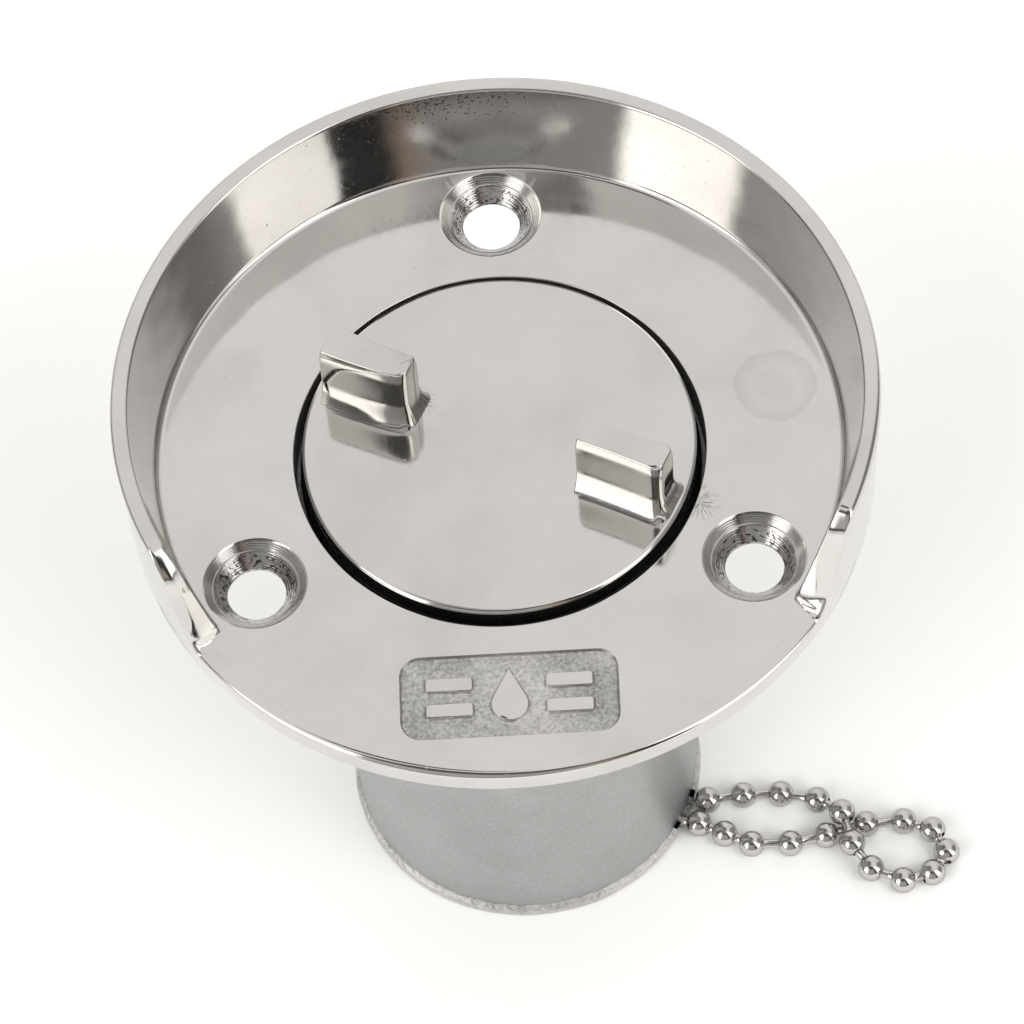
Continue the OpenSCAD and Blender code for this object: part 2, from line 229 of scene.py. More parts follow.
def make_world():
    world = bpy.data.worlds.new("studio")
    bpy.context.scene.world = world
    world.use_nodes = True
    tree = world.node_tree
    direction = tree.nodes.new("ShaderNodeTexCoord")
    x, y, z = split(tree, direction.outputs["Generated"])
    round_about = math_node(tree, "ARCTAN2", x, math_node(tree, "MULTIPLY", y, -1))
    lean = math_node(tree, "MULTIPLY_ADD", z, RING_LEAN / 360, 0.5 + RING_TURN / 360)
    place = math_node(tree, "MULTIPLY_ADD", round_about, 1 / math.tau, lean)
    place = math_node(tree, "FRACT", place)
    ring = by_azimuth(tree, place, STUDIO_RING, BRIGHTEST)
    above = math_node(tree, "SUBTRACT", z, by_azimuth(tree, place, WALL_TOPS))
    ceiling = ramp(tree, math_node(tree, "MULTIPLY_ADD", above, 8, 0.5), [(0.0, 0.0), (1.0, 1.0)])
    hood = panel(tree, place, z, HOOD_SIDES, HOOD_HEIGHTS)
    flag = panel(tree, place, z, FLAG_SIDES, FLAG_HEIGHTS)
    over_gap = math_node(tree, "SUBTRACT", z, by_azimuth(tree, place, GAP_TOPS))
    gap = ramp(tree, math_node(tree, "MULTIPLY_ADD", over_gap, 20, 0.5), [(0.0, 1.0), (1.0, 0.0)])
    under = ramp(tree, z, [(0.0, 1.0), (0.001, 0.0)])
    colour = mix(tree, ceiling, ring, (EVEN,) * 3)
    colour = mix(tree, math_node(tree, "MAXIMUM", hood, flag), colour, (PANEL_GREY,) * 3)
    colour = mix(tree, gap, colour, (GAP_GREY,) * 3)
    colour = mix(tree, under, colour, (EVEN,) * 3)
    warm = mix(tree, 1.0, colour, (1.0, 0.985, 0.965), "MULTIPLY")
    background = tree.nodes["Background"]
    background.inputs["Strength"].default_value = BRIGHTEST
    tree.links.new(warm, background.inputs["Color"])


def make_lights():
    for name, place in (
        ("left_softbox", (-0.55, -0.75, 0.95)), ("right_softbox", (0.6, -0.7, 0.95))
    ):
        data = bpy.data.lights.new(name, "AREA")
        data.size = 0.7
        data.energy = 4.4
        light = bpy.data.objects.new(name, data)
        light.location = place
        light.rotation_euler = (-Vector(place)).to_track_quat("-Z", "Y").to_euler()
        light.visible_glossy = False
        bpy.context.scene.collection.objects.link(light)


def make_floor():
    bpy.ops.mesh.primitive_plane_add(size=6, location=(0, 0, FLOOR_Z * MM))
    floor = bpy.context.object
    floor.name = "floor"
    material, _, shader = new_material("floor_white", metallic=0.0)
    shader.inputs["Base Color"].default_value = (0.97, 0.97, 0.965, 1)
    shader.inputs["Roughness"].default_value = 0.9
    shader.inputs["Specular IOR Level"].default_value = 0.0
    floor.data.materials.append(material)


# ---------------------------------------------------------------- materials
# A ramp across the object spans 50 mm.
RAMP_SHARE = 20


def object_place(tree, scale=(1, 1, 1)):
    coordinates = tree.nodes.new("ShaderNodeTexCoord")
    mapping = tree.nodes.new("ShaderNodeMapping")
    mapping.inputs["Scale"].default_value = scale
    tree.links.new(coordinates.outputs["Object"], mapping.inputs["Vector"])
    return mapping.outputs[0]


def share_of_back(tree, y):
    """1 on the back of the object and 0 on its front."""
    return ramp(tree, math_node(tree, "MULTIPLY", y, RAMP_SHARE), [(0.3, 0.0), (0.5, 1.0)])


def noise(tree, scale, detail, stretch=(1, 1, 1)):
    made = tree.nodes.new("ShaderNodeTexNoise")
    made.inputs["Scale"].default_value = scale
    made.inputs["Detail"].default_value = detail
    made.inputs["Roughness"].default_value = 0.55
    tree.links.new(object_place(tree, stretch), made.inputs["Vector"])
    return made.outputs[0]


def bump(tree, height, distance, before=None):
    made = tree.nodes.new("ShaderNodeBump")
    made.inputs["Distance"].default_value = distance
    tree.links.new(height, made.inputs["Height"])
    if before is not None:
        tree.links.new(before, made.inputs["Normal"])
    return made.outputs[0]


def connect(tree, shader, colour, gloss, normal):
    for name, value in (("Base Color", colour), ("Roughness", gloss), ("Normal", normal)):
        tree.links.new(value, shader.inputs[name])


def offset_from(tree, place):
    """X and Y offsets, in millimetres, from a vertical line through a place on the object."""
    x, y, _ = split(tree, object_place(tree))
    return [
        math_node(tree, "MULTIPLY_ADD", here, 1 / MM, -there)
        for here, there in zip((x, y), place)
    ]


def distance_from(tree, place):
    x, y = offset_from(tree, place)
    squares = math_node(tree, "MULTIPLY_ADD", x, x, math_node(tree, "MULTIPLY", y, y))
    return math_node(tree, "SQRT", squares)


def scuff(tree, place, reach):
    """Hair-fine scratches that fan out from a place."""
    x, y = offset_from(tree, place)
    fan = tree.nodes.new("ShaderNodeCombineXYZ")
    tree.links.new(math_node(tree, "ARCTAN2", y, x), fan.inputs[0])
    distance = distance_from(tree, place)
    tree.links.new(math_node(tree, "MULTIPLY", distance, 0.1), fan.inputs[1])
    hairs = tree.nodes.new("ShaderNodeTexNoise")
    hairs.inputs["Scale"].default_value = 7
    hairs.inputs["Detail"].default_value = 3
    tree.links.new(fan.outputs[0], hairs.inputs["Vector"])
    lines = ramp(tree, hairs.outputs[0], [(0.0, 0.0), (0.52, 0.0), (0.58, 0.9), (1.0, 1.0)])
    near = ramp(tree, math_node(tree, "MULTIPLY", distance, 1 / reach),
                [(0.0, 1.0), (0.35, 0.8), (1.0, 0.0)])
    return math_node(tree, "MULTIPLY", lines, near)


def water_mark(tree, place, radius):
    """The faint dried rim of a drop, uneven all round."""
    uneven = math_node(tree, "MULTIPLY", noise(tree, 350, 4), 1.6)
    distance = math_node(tree, "ADD", distance_from(tree, place), uneven)
    across = math_node(tree, "MULTIPLY", distance, 1 / (2 * radius))
    return ramp(tree, across, [(0.0, 0.03), (0.3, 0.05), (0.5, 0.01), (0.66, 0.07),
                               (0.74, 0.1), (0.8, 0.0), (1.0, 0.0)])


def middle_of_back(tree):
    """The part of the collar that the buffing wheel hardly reached."""
    x, y, _ = split(tree, object_place(tree))
    along = ramp(tree, math_node(tree, "MULTIPLY_ADD", x, RAMP_SHARE, 0.5),
                 [(0.0, 0.0), (0.26, 0.0), (0.33, 1.0), (0.66, 1.0), (0.74, 0.0)])
    return math_node(tree, "MULTIPLY", along, share_of_back(tree, y))


def casting_pits(tree):
    """Pits left by the casting: a patch high on the back of the collar."""
    x, y, z = split(tree, object_place(tree))
    along = ramp(tree, math_node(tree, "MULTIPLY_ADD", x, RAMP_SHARE, 0.5),
                 [(0.0, 0.0), (0.14, 0.0), (0.24, 0.8), (0.42, 1.0), (0.62, 0.35), (0.7, 0.0),
                  (1.0, 0.0)])
    # its ramp ends at the collar's top
    high = ramp(tree, math_node(tree, "MULTIPLY", z, 70), [(0.6, 0.0), (0.78, 0.55), (0.95, 1.0)])
    patch = math_node(tree, "MULTIPLY", math_node(tree, "MULTIPLY", along, high),
                      share_of_back(tree, y))
    spots = math_node(tree, "ADD", noise(tree, 2600, 3), math_node(tree, "MULTIPLY", patch, 0.2))
    return ramp(tree, spots, [(0.0, 0.0), (0.7, 0.0), (0.76, 0.85), (1.0, 1.0)])


def polished_steel(
    name, tint=(0.62, 0.605, 0.585), wave=1.0, rough=(0.06, 0.12), marks=None, edge=1.0,
    soft=None
):
    """Buffed cast stainless: a mirror with slow waves, buffing lines, fine pits and stains."""
    material, tree, shader = new_material(name)
    shader.inputs["Specular Tint"].default_value = (edge, edge, edge, 1)
    stains = noise(tree, 90, 5)
    dark = tuple(c * 0.9 for c in tint)
    light = tuple(min(c * 1.05, 1) for c in tint)
    colour = ramp(tree, stains, [(0.25, dark), (0.5, tint), (0.75, light)])
    buffing = noise(tree, 1500, 3, (1, 0.05, 0.4))
    gloss = ramp(tree, buffing, [(0.3, rough[0]), (0.7, rough[1])])
    if soft:
        gloss = math_node(tree, "MULTIPLY_ADD", soft(tree), 0.12, gloss)
    if marks:
        marked = marks(tree)
        colour = mix(tree, marked, colour, (0.07, 0.065, 0.06))
        gloss = math_node(tree, "MULTIPLY_ADD", marked, 0.3, gloss)
    slow = bump(tree, noise(tree, 70, 2), 0.00011 * wave)
    fine = bump(tree, buffing, 0.0000022, slow)
    pits = ramp(tree, noise(tree, 2200, 2), [(0.0, 0.0), (0.24, 0.0), (0.28, 1.0), (1.0, 1.0)])
    connect(tree, shader, colour, gloss, bump(tree, pits, 0.00001, fine))
    return material


def turned_steel():
    """Cut by a countersink: bright, with fine rings, and torn specks lower down."""
    material, tree, shader = new_material("turned_steel")
    nearest, *others = (distance_from(tree, place) for place in screw_places())
    for other in others:
        nearest = math_node(tree, "MINIMUM", nearest, other)
    # about five rings to a millimetre
    rings = math_node(tree, "SINE", math_node(tree, "MULTIPLY", nearest, 34))
    uneven = noise(tree, 300, 3)
    torn = noise(tree, 2400, 4)
    z = split(tree, object_place(tree))[2]
    # torn only below the lip in the countersink
    low = ramp(tree, math_node(tree, "MULTIPLY", z, 330),
               [(0.0, 1.0), (0.5, 1.0), (0.62, 0.0), (1.0, 0.0)])
    specks = math_node(tree, "MULTIPLY",
                       ramp(tree, torn, [(0.0, 0.0), (0.54, 0.0), (0.6, 0.9), (1.0, 1.0)]), low)
    base = ramp(tree, uneven, [(0.35, (0.36, 0.35, 0.34)), (0.6, (0.52, 0.51, 0.495))])
    colour = mix(tree, specks, base, (0.04, 0.037, 0.035))
    gloss = ramp(tree, torn, [(0.3, 0.12), (0.7, 0.24)])
    cut = bump(tree, math_node(tree, "MULTIPLY", rings, uneven), 0.0000085)
    connect(tree, shader, colour, gloss, bump(tree, torn, 0.000012, cut))
    return material


def cast_steel(
    name, tint=(0.36, 0.36, 0.355), rough=(0.42, 0.62), grain=0.00009, size=1600, patchy=0.2
):
    """Bead-blasted casting: matt, with a fine grain."""
    material, tree, shader = new_material(name)
    fine = noise(tree, size, 5)
    clouds = noise(tree, 120, 4)
    both = math_node(tree, "MULTIPLY_ADD", clouds, 0.5, math_node(tree, "MULTIPLY", fine, 0.5))
    dark = tuple(c * (1 - patchy) for c in tint)
    light = tuple(c * (1 + patchy) for c in tint)
    colour = ramp(tree, both, [(0.35, dark), (0.5, tint), (0.65, light)])
    gloss = ramp(tree, fine, [(0.3, rough[1]), (0.7, rough[0])])
    connect(tree, shader, colour, gloss, bump(tree, fine, grain))
    return material


def black_rubber():
    material, tree, shader = new_material("black_rubber", metallic=0.0)
    dust = noise(tree, 900, 4)
    colour = ramp(tree, dust, [(0.35, (0.006, 0.006, 0.006)), (0.75, (0.022, 0.021, 0.02))])
    gloss = ramp(tree, dust, [(0.3, 0.26), (0.7, 0.42)])
    connect(tree, shader, colour, gloss, bump(tree, dust, 0.00001))
    return material


# ---------------------------------------------------------------- mesh helpers
class Shell:
    """A surface put together from rings of points, in millimetres."""

    def __init__(self):
        self.mesh = bmesh.new()
        self.slot = 0

    def ring(self, points):
        return [self.mesh.verts.new(Vector(p) * MM) for p in points]

    def bridge(self, a, b):
        for i in range(len(a)):
            j = (i + 1) % len(a)
            face = self.mesh.faces.new((a[i], a[j], b[j], b[i]))
            face.material_index = self.slot

    def bridge_all(self, rings):
        for a, b in zip(rings, rings[1:]):
            self.bridge(a, b)

    def fill(self, loops, normal):
        """Fills the flat region inside the first loop and outside the others."""
        edges = []
        for loop in loops:
            for i, vertex in enumerate(loop):
                pair = (vertex, loop[(i + 1) % len(loop)])
                edges.append(self.mesh.edges.get(pair) or self.mesh.edges.new(pair))
        made = bmesh.ops.triangle_fill(
            self.mesh, use_beauty=True, use_dissolve=False, edges=edges, normal=normal
        )
        for face in made["geom"]:
            if isinstance(face, bmesh.types.BMFace):
                face.material_index = self.slot

    def finish(self, name, body, materials, replaces, sharp=35):
        bmesh.ops.recalc_face_normals(self.mesh, faces=self.mesh.faces)
        data = bpy.data.meshes.new(name)
        self.mesh.to_mesh(data)
        self.mesh.free()
        for face in data.polygons:
            face.use_smooth = True
        data.set_sharp_from_angle(angle=math.radians(sharp))
        for material in materials:
            data.materials.append(material)
        made = bpy.data.objects.new(name, data)
        bpy.context.scene.collection.objects.link(made)
        weighted = made.modifiers.new("flat_faces_lead", "WEIGHTED_NORMAL")
        weighted.weight = 100
        weighted.keep_sharp = True
        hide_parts(*replaces)
        if body:
            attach(made, body)
        return made


def circle(radius, z, count, centre=(0, 0)):
    return [
        (centre[0] + radius * math.cos(math.tau * i / count),
         centre[1] + radius * math.sin(math.tau * i / count), z)
        for i in range(count)
    ]


def screw_places():
    turns = [math.radians(turn) for turn in SCREW_TURNS]
    return [(SCREW_R * math.cos(a), SCREW_R * math.sin(a)) for a in turns]


def corner(p, a, b, r, steps):
    """Points of the arc that rounds an outline at p, between the directions a and b."""
    p, a, b = Vector(p), Vector(a).normalized(), Vector(b).normalized()
    half = a.angle(b) / 2
    centre = p + (a + b).normalized() * r / math.sin(half)
    start = p + a * r / math.tan(half) - centre
    end = p + b * r / math.tan(half) - centre
    turn = start.angle_signed(end)
    return [
        centre + Matrix.Rotation(-turn * i / steps, 2) @ start for i in range(steps + 1)
    ]


def smooth_min(a, b, width):
    near = max(width - abs(a - b), 0) / width
    return min(a, b) - near * near * width / 4


def smooth_max(a, b, width):
    return -smooth_min(-a, -b, width)


def ease(x):
    x = min(max(x, 0), 1)
    return x * x * (3 - 2 * x)


def lerp(a, b, t):
    return a + (b - a) * t


def angle_off(angle, middle):
    """How far an angle is from another, in degrees and either way round."""
    return abs((angle - middle + 180) % 360 - 180)


# ---------------------------------------------------------------- flange
# Material slots of the flange
POLISHED, TURNED, CAST, WALL, GRAINY = range(5)


def collar_height(angle):
    """Height of the collar above the plate at an angle in degrees."""
    middle_r = COLLAR_D / 2 * 0.96
    heights = []
    for inside, (_, slope, crown) in (
        (angle - RIGHT_RAMP[0], RIGHT_RAMP), (LEFT_RAMP[0] - angle, LEFT_RAMP)
    ):
        along = math.radians(inside) * middle_r
        line = COLLAR_H / 2 + along * math.tan(math.radians(slope))
        heights.append(smooth_min(smooth_max(line, 0, 2.2), COLLAR_H, crown))
    return min(heights)


def flange_angles():
    """Angles round the flange, closer together on both ramps."""
    angles, angle = [], -90.0
    while angle < 269.99:
        angles.append(angle)
        near = min(abs(angle - end[0]) for end in (RIGHT_RAMP, LEFT_RAMP))
        angle += 0.12 if near < 8 else 1.0
    return angles


def roundings(angle, lift):
    """Radii of the collar's lip and of the outer edge, which are larger in a few places."""
    near_left = ease(1 - angle_off(angle, LEFT_RAMP[0]) / 12)
    near_right = ease(1 - angle_off(angle, -14) / 24)
    near_front = ease(1 - angle_off(angle, 258) / 35)
    lip_r = 0.35 + 0.4 * near_left
    edge_r = lerp(0.5, 0.4, lift) + 0.4 * (near_right * lift + near_front)
    return lip_r, edge_r


def flange_section(angle):
    """(radius, z) points from the plate over the collar and down its outside.

    Where there is no collar, the same points lie flat on the plate.
    """
    h = collar_height(angle)
    lift = ease(h / 0.9)
    wall_lean = (COLLAR_MOUTH_D - COLLAR_FOOT_D) / 2 / COLLAR_H
    outer_lean = (COLLAR_D - PLATE_D) / 2 / (PLATE_T + COLLAR_H)
    top = PLATE_T + h
    # on a ramp the top bows up across its width, and the right one leans outward
    on_ramp = ease(h / 3) * ease((COLLAR_H - h) / 5)
    crown, tilt = (0.28, 0) if angle > 90 else (0.13, 0.7)
    foot = (COLLAR_FOOT_D / 2, PLATE_T)
    inner = (foot[0] + wall_lean * h, top)
    outer = (PLATE_D / 2 + outer_lean * top, top - tilt * on_ramp)
    up_wall = (wall_lean, 1)
    down_outer = (-outer_lean, -1)
    lip_r, edge_r = roundings(angle, lift)
    most = 0.3 * h + 0.02
    fillet = corner(foot, (-1, 0), up_wall, min(0.7, most), 6)
    lip = corner(inner, (-wall_lean, -1), (1, 0), min(lip_r, most), 5)
    edge = corner(outer, (-1, 0), down_outer, edge_r, 6)
    wall = [fillet[-1].lerp(lip[0], k / 5) for k in range(1, 5)]
    land = []
    for k in range(1, 10):
        point = lip[-1].lerp(edge[0], k / 10)
        land.append(point + Vector((0, crown * on_ramp * math.sin(math.pi * k / 10))))
    raised = fillet + wall + lip + land
    flat_start, flat_end = 37.7, 38.5
    points = []
    for i, point in enumerate(raised):
        flat = Vector((lerp(flat_start, flat_end, i / len(raised)), PLATE_T))
        points.append(flat.lerp(point, lift))
    points += edge
    base = Vector((PLATE_D / 2, 0))
    points += [edge[-1].lerp(base, k / 4) for k in range(1, 4)]
    points += corner(base, -Vector(down_outer), (-1, 0), 0.2, 3)
    return points


def rounded_rectangle(width, height, r, grow, centre, z, steps=8):
    w, h, r = width / 2 + grow, height / 2 + grow, max(r + grow, 0.02)
    points = []
    for k, (sx, sy) in enumerate(((1, 1), (-1, 1), (-1, -1), (1, -1))):
        for i in range(steps + 1):
            a = math.pi / 2 * (k + i / steps)
            points.append((
                centre[0] + sx * (w - r) + r * math.cos(a),
                centre[1] + sy * (h - r) + r * math.sin(a),
                z,
            ))
    return points


def drop(grow, centre, z, steps=26):
    """A drop: a circle with a tangent point above it."""
    r, tip = 1.9 + grow, 4.2 + 2.1 * grow
    lift = math.asin(r / tip)
    points = [(centre[0], centre[1] - 1.1 + tip, z)]
    for i in range(steps + 1):
        a = math.pi - lift + (math.pi + 2 * lift) * i / steps
        points.append((centre[0] + r * math.cos(a), centre[1] - 1.1 + r * math.sin(a), z))
    return points


def label_outlines():
    """The field and its symbols, each as a function of how far it grows and its height."""
    centre = (0, LABEL_Y)
    symbols = [lambda grow, z: drop(grow, centre, z)]
    for x in (-6.2, 6.2):
        for y in (-1.5, 1.5):
            spot = (x, LABEL_Y + y)
            symbols.append(
                lambda grow, z, spot=spot: rounded_rectangle(4.8, 1.5, 0.3, grow, spot, z, 4)
            )
    return lambda grow, z: rounded_rectangle(*LABEL, grow, centre, z), symbols


def label_recess(shell):
    """Makes the recess, 0.5 mm deep, and its symbols, and returns its loop on the plate."""
    field, symbols = label_outlines()
    walls = ((0.1, 0), (0.03, -0.03), (0, -0.1), (-0.1, -0.34), (-0.2, -0.46), (-0.34, -0.5))
    shell.slot = POLISHED
    rings = [shell.ring(field(grow, PLATE_T + dz)) for grow, dz in walls]
    shell.bridge_all(rings[:4])
    shell.slot = GRAINY
    shell.bridge_all(rings[3:])
    feet = []
    for symbol in symbols:
        steps = [shell.ring(symbol(-grow, PLATE_T + dz)) for grow, dz in walls]
        shell.slot = POLISHED
        shell.fill(steps[:1], (0, 0, 1))
        shell.bridge_all(steps[:3])
        shell.slot = GRAINY
        shell.bridge_all(steps[2:])
        feet.append(steps[-1])
    shell.fill([rings[-1], *feet], (0, 0, 1))
    return rings[0]


def countersink(shell, centre):
    """Cuts one screw hole through the plate, and returns its loops above and below."""
    lip_r, lip_z = SCREW_HEAD_R - 0.9, PLATE_T - 0.8
    seat_z = lip_z - (lip_r - 0.15 - SCREW_HOLE_R) * 1.1
    profile = [(SCREW_HEAD_R + 0.12, PLATE_T), (SCREW_HEAD_R + 0.02, PLATE_T - 0.03)]
    for k in range(1, 11):
        mark = 0.012 * math.sin(k * 2.4)
        profile.append((lerp(SCREW_HEAD_R - 0.05, lip_r, k / 10) + mark,
                        lerp(PLATE_T - 0.08, lip_z, k / 10)))
    profile += [(lip_r - 0.06, lip_z - 0.01), (lip_r - 0.16, lip_z - 0.06)]
    for k in range(1, 15):
        mark = 0.022 * math.sin(k * 2.1)
        profile.append((lerp(lip_r - 0.2, SCREW_HOLE_R, k / 14) + mark,
                        lerp(lip_z - 0.1, seat_z, k / 14)))
    profile += [(SCREW_HOLE_R, seat_z - 0.06), (SCREW_HOLE_R, 0.1), (SCREW_HOLE_R + 0.1, 0)]
    rings = [shell.ring(circle(r, z, 96, centre)) for r, z in profile]
    shell.slot = POLISHED
    shell.bridge_all(rings[:3])
    shell.slot = TURNED
    shell.bridge_all(rings[2:])
    return rings[0], rings[-1]


def thread_ridge(shell, root_r, tip_r, start, turns, steps=90):
    """A helical ridge with closed ends."""
    rings = []
    for i in range(round(turns * steps) + 1):
        a = math.tau * i / steps
        z = start + LEAD * i / steps
        taper = ease(min(i, turns * steps - i) / 12)
        tip = lerp(root_r, tip_r, 0.15 + 0.85 * taper)
        rings.append(shell.ring([
            (r * math.cos(a), r * math.sin(a), z + dz)
            for r, dz in (
                (root_r, -RIDGE_ROOT_HALF), (tip, -RIDGE_CREST_HALF),
                (tip, RIDGE_CREST_HALF), (root_r, RIDGE_ROOT_HALF),
            )
        ]))
    shell.bridge_all(rings)
    shell.mesh.faces.new(rings[0])
    shell.mesh.faces.new(rings[-1])


def make_flange(polished, turned, cast, wall, grainy):
    shell = Shell()
    angles = flange_angles()
    sections = [flange_section(a) for a in angles]
    swept = []
    for k in range(len(sections[0])):
        swept.append(shell.ring([
            (s[k].x * math.cos(math.radians(a)), s[k].x * math.sin(math.radians(a)), s[k].y)
            for a, s in zip(angles, sections)
        ]))
    # the collar's inner wall, by its points in a section
    wall_start, wall_end = 5, 11
    shell.slot = POLISHED
    shell.bridge_all(swept[:wall_start + 1])
    shell.slot = WALL
    shell.bridge_all(swept[wall_start:wall_end + 1])
    shell.slot = POLISHED
    shell.bridge_all(swept[wall_end:])
    label_loop = label_recess(shell)
    holes = [countersink(shell, place) for place in screw_places()]
    rim = [(WELL_R + 0.2 * (1 - math.sin(t)), PLATE_T - 0.2 * (1 - math.cos(t)))
           for t in (math.pi / 2 * k / 5 for k in range(6))]
    well = [shell.ring(circle(r, z, ROUND_STEPS)) for r, z in (
        *rim, (WELL_R, SEAT_Z), (SOCKET_R, SEAT_Z), (SOCKET_R, NECK_TOP))]
    shell.slot = POLISHED
    shell.bridge_all(well[:6])
    shell.slot = CAST
    shell.bridge_all(well[5:])
    under = [shell.ring(circle(r, z, ROUND_STEPS)) for r, z in (
        (NECK_R, NECK_TOP), (NECK_R, SKIRT_FOOT), (NECK_R + 2, SKIRT_FOOT), (NECK_R + 2, -8.6),
        (BOSS_R - 0.15, -3.7), (BOSS_R, -3.4), (BOSS_R, 0))]
    shell.bridge(well[-1], under[0])
    shell.bridge_all(under)
    shell.slot = POLISHED
    shell.fill([swept[0], label_loop, well[0], *(above for above, below in holes)], (0, 0, 1))
    shell.slot = CAST
    shell.fill([swept[-1], under[-1], *(below for above, below in holes)], (0, 0, -1))
    first = CAP_FOOT + RIDGE_ROOT_HALF
    thread_ridge(shell, SOCKET_R + 0.3, SOCKET_R - 1, first - LEAD / 2, 2.5)
    looks = (polished, turned, cast, wall, grainy)
    return shell.finish("flange_casting", "deck_fill", looks, ["deck_flange"])


# ---------------------------------------------------------------- cap
def lug_outline(lug, grow, z, spread):
    """Outline of a grip lug: wider at one end, with bulging sides and unequal corners."""
    inner, outer = LUG_INNER, LUG_OUTER
    corners = (
        (outer, lug["outer_half"], lug["outer_left"]),
        (inner, lug["inner_half"], lug["inner_left"]),
        (inner, -lug["inner_half"], lug["inner_right"]),
        (outer, -lug["outer_half"], lug["outer_right"]),
    )
    points = []
    for k, (x, y, r) in enumerate(corners):
        sx, sy = (1 if x == outer else -1), (1 if y > 0 else -1)
        for i in range(7):
            a = math.pi / 2 * (k + i / 6)
            points.append(Vector((x - sx * r + r * math.cos(a), y - sy * r + r * math.sin(a))))
        following = corners[(k + 1) % 4]
        last = Vector((following[0], following[1]))
        step = (last - Vector((x, y))).normalized()
        if abs(step.x) > 0.5:
            end = last - step * following[2]
            start = points[-1].copy()
            points += [start.lerp(end, t / 10) for t in range(1, 10)]
    middle = (inner + outer) / 2
    shaped = []
    for p in points:
        along = (p.x - middle) / ((outer - inner) / 2)
        across = p.y / lerp(lug["inner_half"], lug["outer_half"], (along + 1) / 2)
        bulge = lug["bulge"] * (1 - along * along) * across
        if spread > 0:
            reach = spread * lug["outer_foot" if along > 0 else "inner_foot"]
        else:
            reach = spread
        shaped.append((p.x + reach * along, p.y + (grow + bulge) * across, z))
    return shaped


def grip_lug(shell, turn, lug):
    """A lug with a hollow flare at its foot and a soft lean just below its top."""
    flare_r, flare_z = 6.5, 3.4
    levels = []
    for z in (-0.15, 0.02, 0.2, 0.45, 0.75, 1.1, 1.5, 1.9, 2.3, 2.7, 3.1, 3.4):
        hollow = flare_r * (1 - math.cos(math.asin((flare_z - z) / flare_r)))
        levels.append((z, hollow, hollow))
    levels += [(4.4, 0, 0), (5.4, 0, 0), (6.2, -0.005, 0)]
    levels += [(LUG_H - below, -inset, -inset * 0.5) for below, inset in (
        (1.8, 0.015), (1.3, 0.04), (0.9, 0.085), (0.55, 0.15), (0.25, 0.225), (0.1, 0.275),
        (0.04, 0.31), (0, 0.37))]
    spin = Matrix.Rotation(math.radians(turn), 3, "Z")
    rings = []
    for z, grow, spread in levels:
        outline = lug_outline(lug, grow, CAP_TOP + z, spread)
        rings.append(shell.ring([spin @ Vector(p) for p in outline]))
    shell.bridge_all(rings)
    shell.fill([rings[0]], (0, 0, -1))
    shell.fill([rings[-1]], (0, 0, 1))


def make_cap(mirror, cast):
    shell = Shell()
    mirror_slot, cast_slot = 0, 1
    edge, hollow_r, boss_r, stud_r = 0.5, 14.4, 4, 1.2
    rim = [(CAP_R - edge + edge * math.sin(t), CAP_TOP - edge + edge * math.cos(t))
           for t in (math.pi / 2 * k / 9 for k in range(10))]
    outside = [shell.ring(circle(r, z, ROUND_STEPS)) for r, z in (
        *rim, (CAP_R, CAP_UNDER + 0.15), (CAP_R - 0.15, CAP_UNDER), (SOCKET_R - 0.2, CAP_UNDER),
        (SOCKET_R - 0.2, -1.8), (SOCKET_R - 0.3, -1.9), (CORE_R, -1.9))]
    shell.fill(outside[:1], (0, 0, 1))
    shell.bridge_all(outside)
    shell.slot = cast_slot
    inside = [shell.ring(circle(r, z, ROUND_STEPS)) for r, z in (
        (CORE_R, CAP_FOOT + 0.3), (CORE_R - 0.3, CAP_FOOT), (hollow_r + 0.2, CAP_FOOT),
        (hollow_r, CAP_FOOT + 0.2), (hollow_r, 0.0), (hollow_r - 0.3, 0.3), (boss_r + 0.3, 0.3),
        (boss_r, 0), (boss_r, -1.8), (boss_r - 0.2, -2), (stud_r, -2), (stud_r, 0.8))]
    shell.bridge(outside[-1], inside[0])
    shell.bridge_all(inside)
    shell.fill(inside[-1:], (0, 0, -1))
    thread_ridge(shell, CORE_R - 0.3, CREST_R, CAP_FOOT + RIDGE_ROOT_HALF, 2)
    shell.slot = mirror_slot
    grip_lug(shell, LUG_ANGLE, {
        "inner_half": 1.75, "outer_half": 1.9, "bulge": 0.1, "inner_foot": 0, "outer_foot": 0.8,
        "inner_left": 1.4, "inner_right": 0.25, "outer_right": 1.1, "outer_left": 0.7})
    grip_lug(shell, LUG_ANGLE + 180, {
        "inner_half": 1.75, "outer_half": 2.15, "bulge": 0.2, "inner_foot": 0.8, "outer_foot": 0,
        "outer_right": 1.5, "outer_left": 0.25, "inner_left": 1.1, "inner_right": 0.6})
    return shell.finish("cap_casting", "cap", (mirror, cast), ["filler_cap"])


# ---------------------------------------------------------------- neck
NOTCHES = (-18.5, -31.5)
NOTCH_HALF = 2.0
NOTCH_H = 2.15


def neck_notch(angle):
    """Height of the foot's edge at an angle in degrees: two notches let the chain through."""
    height = 0
    for middle in NOTCHES:
        inside = NOTCH_HALF - angle_off(angle, middle)
        height = max(height, NOTCH_H * ease(inside / 0.35))
    return FLOOR_Z + height


